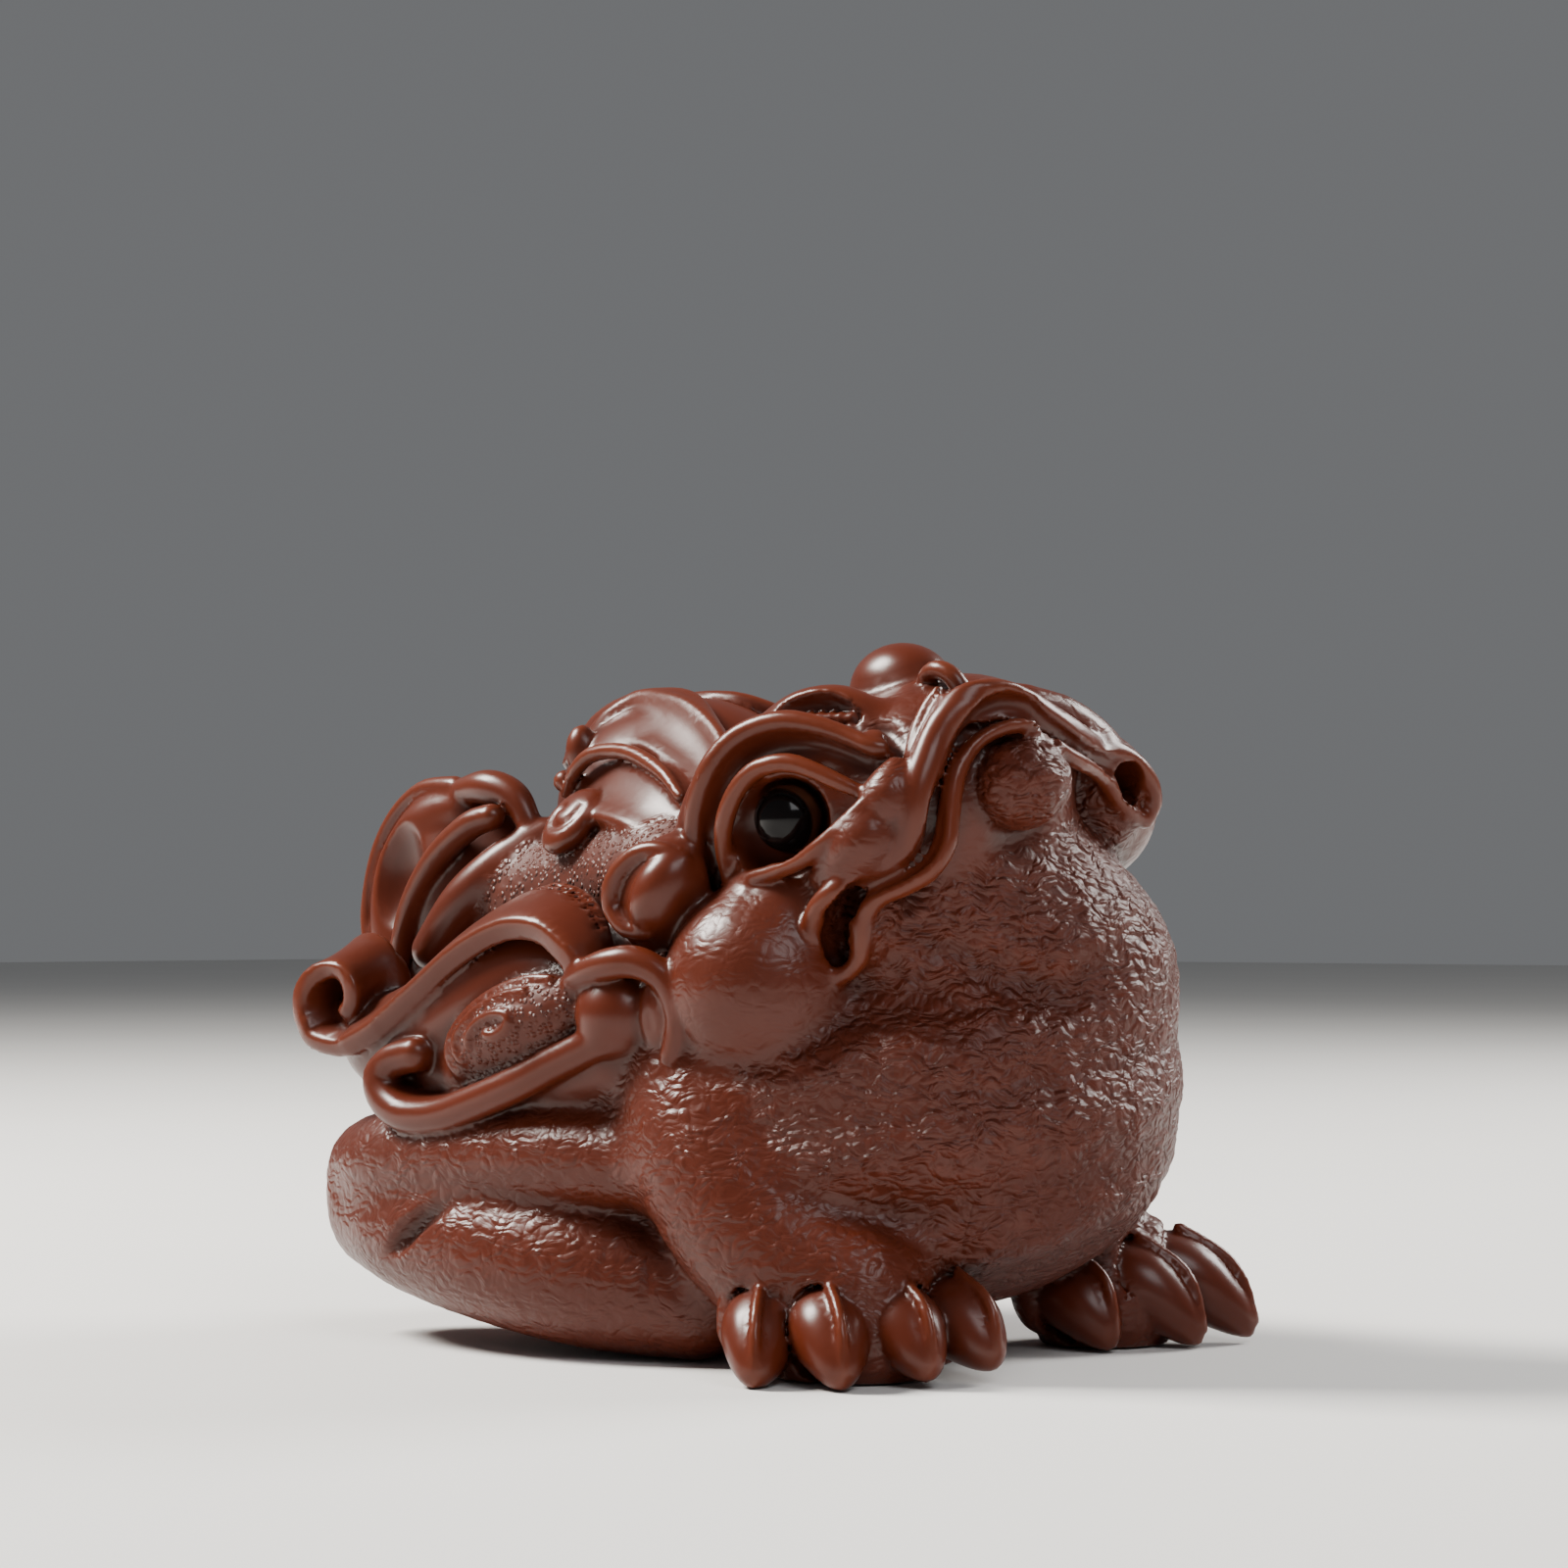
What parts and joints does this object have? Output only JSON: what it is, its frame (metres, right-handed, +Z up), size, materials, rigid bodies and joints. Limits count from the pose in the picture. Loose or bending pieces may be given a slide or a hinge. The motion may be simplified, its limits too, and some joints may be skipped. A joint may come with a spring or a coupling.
{
  "type": "money toad tea pet",
  "caption": "Wide crouching toad of unglazed red clay with its head thrown up, curled manes on the flanks, tail fins and broad claws; a small figure for a tea tray.",
  "frame": {"origin": "middle of the bounding box on the ground plane, under the belly", "axes": "+X the way the toad faces, +Y its left flank, +Z up"},
  "size_m": [0.1024, 0.0722, 0.0749],
  "materials": {
    "red_clay": "satin, rubbed on the folds and matte in the wrinkled skin",
    "black_glaze": "high gloss"
  },
  "bodies": {
    "root": {"toad_body": "red_clay", "eye_right": "black_glaze", "eye_left": "black_glaze"}
  },
  "joints": []
}
